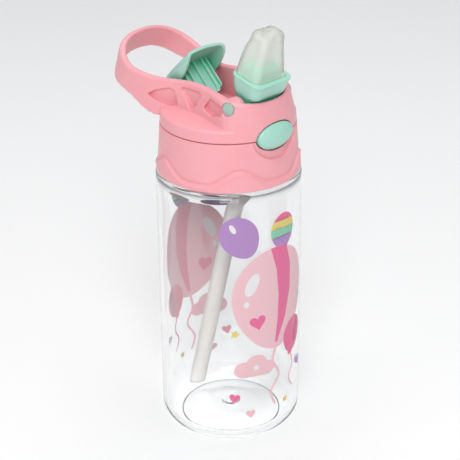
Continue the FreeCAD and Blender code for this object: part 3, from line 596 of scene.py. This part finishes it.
def balloon(cx, cy, r, rot=0.0, n=64):
    """Round on top, drawn in towards the knot."""
    c, s = math.cos(rot), math.sin(rot)
    out = []
    for i in range(n):
        t = 2 * math.pi * i / n
        x, y = math.sin(t), math.cos(t)
        x *= 1.0 - 0.16 * max(0.0, -y) ** 1.5
        y = y * 1.12 if y > 0 else y * 1.28
        x, y = x * r, y * r
        out.append((cx + x * c - y * s, cy + x * s + y * c))
    return out[::-1]


def band(shape, cy0, cy1, rot=0.0, about=(0, 0)):
    """The part of a convex outline between two heights measured along its own axis."""
    c, s = math.cos(-rot), math.sin(-rot)
    loc = [((x - about[0]) * c - (y - about[1]) * s, (x - about[0]) * s + (y - about[1]) * c) for x, y in shape]

    def clip(poly, keep, val):
        out = []
        for i in range(len(poly)):
            a, b = poly[i], poly[(i + 1) % len(poly)]
            ia, ib = keep(a[1]), keep(b[1])
            if ia:
                out.append(a)
            if ia != ib:
                f = (val - a[1]) / (b[1] - a[1])
                out.append((a[0] + (b[0] - a[0]) * f, val))
        return out
    loc = clip(loc, lambda y: y > cy0, cy0)
    loc = clip(loc, lambda y: y < cy1, cy1)
    c, s = math.cos(rot), math.sin(rot)
    return [(about[0] + x * c - y * s, about[1] + x * s + y * c) for x, y in loc]


# Each entry: colour index, outline. u is the distance round the wall from the bunch's middle, v the height.
LIGHT, HOT, LILAC, YELLOW, GREEN, WHITE, DEEP = range(7)
INKS = [srgb(250, 206, 214), srgb(243, 116, 166), srgb(190, 148, 208), srgb(240, 220, 128), srgb(150, 216, 186),
        srgb(246, 244, 246), srgb(222, 88, 138)]
ART = []
lil = balloon(-21, 119, 9.6, rot=0.5)
ART.append((LILAC, lil))
ART.append((WHITE, circle(-24.2, 123.4, 1.3, 2.6, rot=0.5)))
egg = balloon(3.5, 118, 8.0, rot=-0.05)
top_y = 9.1
ART.append((GREEN, egg))
for idx, lo, hi in ((HOT, 5.0, 12.0), (YELLOW, 1.0, 5.0), (GREEN, -3.4, 1.0), (LILAC, -12.0, -3.4)):
    ART.append((idx, band(egg, lo, hi, rot=-0.05, about=(3.5, 118))))
big = balloon(-1.5, 84, 23.5, rot=0.03)
ART.append((LIGHT, big))
gore = [(-1.5 + x, 84 + y) for x, y in ((-3.0, 26.1), (2.0, 26.2), (7.5, 25.2), (10.8, 14.0), (10.6, 0.0), (7.0, -14.0), (0.5, -28.6), (-0.5, -28.4), (1.4, -14.0), (2.0, 0.0), (0.6, 14.0))]
ART.append((HOT, gore[::-1]))
ART.append((WHITE, circle(-14.6, 92.5, 3.0, 6.4, rot=-0.42)))
ART.append((WHITE, circle(-17.6, 82.0, 1.3, 1.8, rot=-0.2)))
ART.append((HOT, heart(-11.5, 70.5, 8.6, 8.2, rot=0.15)))
small = balloon(12.5, 57.0, 8.2, rot=-0.28)
ART.append((HOT, small))
ART.append((DEEP, [(x, y) for x, y in circle(15.6, 57.2, 2.4, 7.0, rot=-0.28)]))
cloud = ribbon([(-1.0, 55.8), (-3.0, 47.0), (1.0, 38.0), (-4.0, 29.0), (-1.5, 21.0)], 1.7, 1.1)
ART.append((LIGHT, cloud))
ART.append((LIGHT, ribbon([(10.0, 46.4), (12.5, 39.0), (9.0, 32.0), (12.5, 25.5)], 1.5, 1.0)))
ART.append((LIGHT, [(-3.6, 55.6), (-1.0, 57.4), (1.6, 55.6), (0.6, 54.0), (-2.6, 54.0)]))
ART.append((HOT, [(7.9, 46.8), (10.0, 48.6), (12.2, 46.9), (11.4, 45.4), (8.6, 45.3)]))
# cloud under the bunch
ART.append((LIGHT, circle(-19.0, 45.0, 5.2, 4.6)))
ART.append((LIGHT, circle(-12.4, 47.4, 5.8, 5.4)))
ART.append((LIGHT, circle(-6.6, 44.4, 4.6, 4.0)))
ART.append((LIGHT, [(-19.0, 40.6), (-6.6, 40.6), (-6.6, 45.0), (-19.0, 45.0)]))
ART.append((WHITE, star(-12.6, 45.6, 2.2)))
ART.append((YELLOW, star(-23.5, 66.0, 2.6, rot=0.3)))
ART.append((HOT, heart(-24.0, 28.5, 5.6, 5.4, rot=-0.2)))
ART.append((GREEN, star(19.5, 76.0, 2.3, rot=0.2)))
ART.append((YELLOW, star(6.0, 20.5, 2.4, rot=0.1)))
ART.append((LILAC, heart(20.5, 36.0, 6.0, 5.6, rot=0.2)))
ART.append((LIGHT, heart(-15.5, 18.5, 5.0, 4.8, rot=0.1)))


def printed(name, centre, radius_out, radius_in, inks, inner_painted_light_inks):
    """Non-overlapping colour fields, wrapped round the wall as one thin closed film."""
    pts, faces_in = [], []
    for _, poly in ART:
        s = len(pts)
        turn = sum(a[0] * b[1] - a[1] * b[0] for a, b in zip(poly, poly[1:] + poly[:1]))
        pts += [Vector(q) for q in (poly if turn > 0 else poly[::-1])]
        faces_in.append(list(range(s, s + len(poly))))
    n_art = len(faces_in)
    # filler points keep the facets small against the curve of the wall
    for i in range(-19, 18):
        for j in range(9, 67):
            pts.append(Vector((i * 1.9 + (0.6 if j % 2 else 0.0) + 0.013 * ((i * 7 + j * 3) % 5), j * 1.95 + 0.011 * ((i * 5 + j) % 7))))
    vs, es, fs, ov, oe, of_ = delaunay_2d_cdt(pts, [], faces_in, 0, 1e-5)
    used = {}
    order = []
    tri = []
    for f, src in zip(fs, of_):
        inside = [k for k in src if k < n_art]
        if not inside:
            continue
        colour = ART[max(inside)][0]
        a, b, c = (vs[i] for i in f[:3])
        if abs((b - a).cross(c - a)) < 1e-7:
            continue
        tri.append((f, colour))
        for i in f:
            if i not in used:
                used[i] = len(order)
                order.append(i)
    n = len(order)
    verts = []
    for rr in (radius_out, radius_in):
        for i in order:
            u, v = vs[i]
            ang = centre + u / 36.0
            verts.append((rr * math.sin(ang) * MM, -rr * math.cos(ang) * MM, v * MM))
    faces, mats = [], []
    edge_use = {}
    for f, colour in tri:
        a = [used[i] for i in f]
        faces.append(tuple(a))
        mats.append(colour)
        faces.append(tuple(i + n for i in reversed(a)))
        mats.append(colour + len(inks))
        for i in range(len(a)):
            e = (a[i], a[(i + 1) % len(a)])
            edge_use[e] = colour
    for (i, j), colour in edge_use.items():
        if (j, i) not in edge_use:
            faces.append((j, i, i + n, j + n))
            mats.append(colour)
    me = bpy.data.meshes.new(name)
    me.from_pydata(verts, [], faces)
    # inner faces, seen through the bottle on its far side, take the lightened inks: painted light for the shaded
    # side
    for m in inks + inner_painted_light_inks:
        me.materials.append(m)
    me.polygons.foreach_set("material_index", mats)
    me.polygons.foreach_set("use_smooth", [False] * len(faces))
    me.update()
    bm = bmesh.new()
    bm.from_mesh(me)
    bmesh.ops.recalc_face_normals(bm, faces=bm.faces)
    bm.to_mesh(me)
    bm.free()
    o = bpy.data.objects.new(name, me)
    bpy.context.scene.collection.objects.link(o)
    return o


names = ("light_pink", "hot_pink", "lilac", "yellow", "mint", "white", "deep_pink")
front_inks = [ink("ink_" + n, c, through=0.22) for n, c in zip(names, INKS)]
# the back inks are lighter copies of the front inks: painted light that brightens the shaded far side of the print
back_inks_painted_light = [ink("ink_back_" + n, mixed(c, 0.38, (0.98, 0.84, 0.86)), rough=0.45, through=0.55) for n, c in zip(names, INKS)]
for name, centre in (("print_front", math.radians(-4)), ("print_rear", math.radians(-4 + 180))):
    p = printed(name, centre, 35.975, 35.945, front_inks, back_inks_painted_light)
    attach(p, "bottle")


# ------------------------------------------------------------------ carried-over nodes
def dress(node, material):
    me = NODES[node].data
    if not me.materials:
        me.materials.append(material)
    for i in range(len(me.materials)):
        me.materials[i] = material


for n in ("lid_core", "latch_slider"):
    dress(n, M_WHITE)
for n in ("spout_seat", "neck_gasket", "vent_valve"):
    dress(n, M_SIL)
for n in ("spout_pin_left", "spout_pin_right"):
    dress(n, M_PIN)
for n in ("cover_pin", "cover_spring", "button_spring_right", "button_spring_left", "spout_spring"):
    dress(n, M_STEEL)


# ------------------------------------------------------------------ floor, light, camera
def floor():
    k = Mat("floor_white")
    b = k.node("ShaderNodeBsdfPrincipled")
    c = k.ramp(k.noise(3.0).outputs["Fac"], [(0.3, (0.955, 0.955, 0.955, 1)), (0.7, (0.97, 0.97, 0.97, 1))])
    k.link(c.outputs["Color"], b.inputs["Base Color"])
    b.inputs["Roughness"].default_value = 0.9
    b.inputs["Specular IOR Level"].default_value = 0.1
    k.link(b.outputs["BSDF"], k.out.inputs["Surface"])
    s = 6.0
    o = new_object("floor", [(-s, -s, -0.0002), (s, -s, -0.0002), (s, s, -0.0002), (-s, s, -0.0002)], [(0, 1, 2, 3)],
                   k.m, smooth=False)


floor()

sc = bpy.context.scene
world = bpy.data.worlds.new("studio")
sc.world = world
world.use_nodes = True
wt = world.node_tree
wt.nodes.clear()
wo = wt.nodes.new("ShaderNodeOutputWorld")
bg = wt.nodes.new("ShaderNodeBackground")
bg.inputs["Color"].default_value = (0.96, 0.975, 1.0, 1)
bg.inputs["Strength"].default_value = 0.36
wt.links.new(bg.outputs["Background"], wo.inputs["Surface"])


def area(name, size, pos, target, power, colour=(1, 1, 1)):
    l = bpy.data.lights.new(name, "AREA")
    l.shape = "RECTANGLE"
    l.size, l.size_y = size
    l.energy = power
    l.color = colour
    o = bpy.data.objects.new(name, l)
    bpy.context.scene.collection.objects.link(o)
    o.location = pos
    d = Vector(target) - Vector(pos)
    o.rotation_euler = d.to_track_quat("-Z", "Y").to_euler()
    return o


area("key", (0.8, 1.0), (-0.95, -0.95, 1.35), (0, 0, 0.12), 18.5)
area("side", (0.35, 1.3), (-1.3, 0.75, 0.7), (0, 0, 0.12), 1.2)
area("top", (1.5, 1.5), (0.15, 0.1, 1.75), (0, 0, 0.1), 12.5)

cam_data = bpy.data.cameras.new("camera")
cam = bpy.data.objects.new("camera", cam_data)
sc.collection.objects.link(cam)
cam.location = (-0.4415, -0.4415, 0.4082)
look = Vector((0, 0, 0.10119)) - Vector(cam.location)
rot = look.to_track_quat("-Z", "Y").to_matrix().to_4x4() @ Matrix.Rotation(-0.010, 4, "Z")
cam.rotation_euler = rot.to_euler()
cam_data.sensor_width = 36.0
cam_data.lens = 108.07
cam_data.shift_x = 0.0015
cam_data.shift_y = 0.0183
cam_data.clip_start = 0.01
sc.camera = cam
sc.view_settings.view_transform = "Standard"
sc.view_settings.look = "None"
